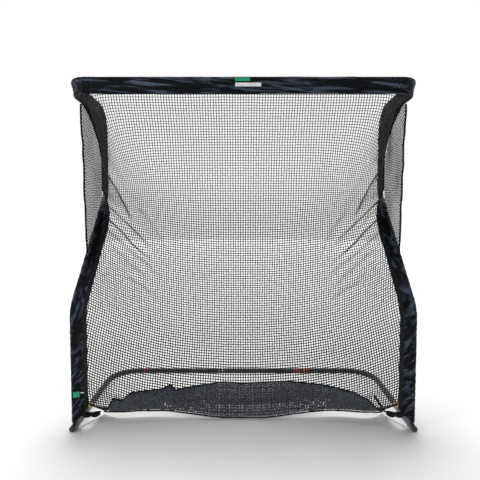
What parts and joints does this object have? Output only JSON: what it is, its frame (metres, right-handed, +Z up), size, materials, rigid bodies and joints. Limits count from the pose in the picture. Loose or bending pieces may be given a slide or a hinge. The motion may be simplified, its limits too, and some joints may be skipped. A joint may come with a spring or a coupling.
{
  "type": "golf return net",
  "caption": "Free-standing tube frame that hangs a deep net with side nets, sleeves and corner straps, so that a golf ball rolls back to the player.",
  "frame": {"origin": "on the ground, under the middle of the frame's outer box", "axes": "+Z up, +X to the player's right, -Y towards the player"},
  "size_m": [2.407, 1.067, 2.4304],
  "materials": {
    "tube": "satin dark slate powder coat",
    "moulding": "black moulded plastic",
    "button": "bright spring steel",
    "sleeve_fabric": "black-navy woven polyester",
    "netting": "black knotless netting",
    "webbing": "black woven webbing"
  },
  "bodies": {
    "frame": {"foot_tee_left": "tube", "lower_upright_left": "tube", "mid_upright_left": "tube", "top_arm_left": "tube", "top_corner_left": "tube", "top_bar_left": "tube", "ground_corner_left": "tube", "rear_tube_left": "tube", "foot_tee_right": "tube", "lower_upright_right": "tube", "mid_upright_right": "tube", "top_arm_right": "tube", "top_corner_right": "tube", "top_bar_right": "tube", "ground_corner_right": "tube", "rear_tube_right": "tube", "foot_cap_left": "moulding", "foot_cap_right": "moulding", "strap_buckle_left": "moulding", "strap_buckle_right": "moulding", "top_sleeve": "sleeve_fabric", "side_sleeve_left": "sleeve_fabric", "side_sleeve_right": "sleeve_fabric", "corner_gusset_left": "sleeve_fabric", "corner_gusset_right": "sleeve_fabric", "main_net": "netting", "side_net_left": "netting", "side_net_right": "netting", "front_apron": "netting", "front_hem": "webbing", "apron_hem": "webbing", "side_hem_left": "webbing", "side_hem_right": "webbing", "corner_strap_left": "webbing", "corner_strap_right": "webbing"},
    "button_top_middle": {"button_top_middle": "button"},
    "button_rear_middle": {"button_rear_middle": "button"},
    "button_ground_left": {"button_ground_left": "button"},
    "button_leg_left": {"button_leg_left": "button"},
    "button_slope_left": {"button_slope_left": "button"},
    "button_upright_left": {"button_upright_left": "button"},
    "button_arm_left": {"button_arm_left": "button"},
    "button_bar_left": {"button_bar_left": "button"},
    "button_rear_left": {"button_rear_left": "button"},
    "button_ground_right": {"button_ground_right": "button"},
    "button_leg_right": {"button_leg_right": "button"},
    "button_slope_right": {"button_slope_right": "button"},
    "button_upright_right": {"button_upright_right": "button"},
    "button_arm_right": {"button_arm_right": "button"},
    "button_bar_right": {"button_bar_right": "button"},
    "button_rear_right": {"button_rear_right": "button"}
  },
  "joints": [
    {"name": "press_top_middle", "type": "slide", "parent": "frame", "child": "button_top_middle", "axis": [0, 0.0732, 0.9973], "range_m": [0, 0.0052], "stiffness_N_per_m": 800},
    {"name": "press_rear_middle", "type": "slide", "parent": "frame", "child": "button_rear_middle", "axis": [0, 0, -1], "range_m": [0, 0.0052], "stiffness_N_per_m": 800},
    {"name": "press_ground_left", "type": "slide", "parent": "frame", "child": "button_ground_left", "axis": [0, 0, -1], "range_m": [0, 0.0052], "stiffness_N_per_m": 800},
    {"name": "press_leg_left", "type": "slide", "parent": "frame", "child": "button_leg_left", "axis": [-1, 0, 0], "range_m": [0, 0.0052], "stiffness_N_per_m": 800},
    {"name": "press_slope_left", "type": "slide", "parent": "frame", "child": "button_slope_left", "axis": [-1, 0, 0], "range_m": [0, 0.0052], "stiffness_N_per_m": 800},
    {"name": "press_upright_left", "type": "slide", "parent": "frame", "child": "button_upright_left", "axis": [0, 1, 0], "range_m": [0, 0.0052], "stiffness_N_per_m": 800},
    {"name": "press_arm_left", "type": "slide", "parent": "frame", "child": "button_arm_left", "axis": [0, 0.0732, 0.9973], "range_m": [0, 0.0052], "stiffness_N_per_m": 800},
    {"name": "press_bar_left", "type": "slide", "parent": "frame", "child": "button_bar_left", "axis": [0, 0.0732, 0.9973], "range_m": [0, 0.0052], "stiffness_N_per_m": 800},
    {"name": "press_rear_left", "type": "slide", "parent": "frame", "child": "button_rear_left", "axis": [0, 0, -1], "range_m": [0, 0.0052], "stiffness_N_per_m": 800},
    {"name": "press_ground_right", "type": "slide", "parent": "frame", "child": "button_ground_right", "axis": [0, 0, -1], "range_m": [0, 0.0052], "stiffness_N_per_m": 800},
    {"name": "press_leg_right", "type": "slide", "parent": "frame", "child": "button_leg_right", "axis": [1, 0, 0], "range_m": [0, 0.0052], "stiffness_N_per_m": 800},
    {"name": "press_slope_right", "type": "slide", "parent": "frame", "child": "button_slope_right", "axis": [1, 0, 0], "range_m": [0, 0.0052], "stiffness_N_per_m": 800},
    {"name": "press_upright_right", "type": "slide", "parent": "frame", "child": "button_upright_right", "axis": [0, 1, 0], "range_m": [0, 0.0052], "stiffness_N_per_m": 800},
    {"name": "press_arm_right", "type": "slide", "parent": "frame", "child": "button_arm_right", "axis": [0, 0.0732, 0.9973], "range_m": [0, 0.0052], "stiffness_N_per_m": 800},
    {"name": "press_bar_right", "type": "slide", "parent": "frame", "child": "button_bar_right", "axis": [0, 0.0732, 0.9973], "range_m": [0, 0.0052], "stiffness_N_per_m": 800},
    {"name": "press_rear_right", "type": "slide", "parent": "frame", "child": "button_rear_right", "axis": [0, 0, -1], "range_m": [0, 0.0052], "stiffness_N_per_m": 800}
  ]
}
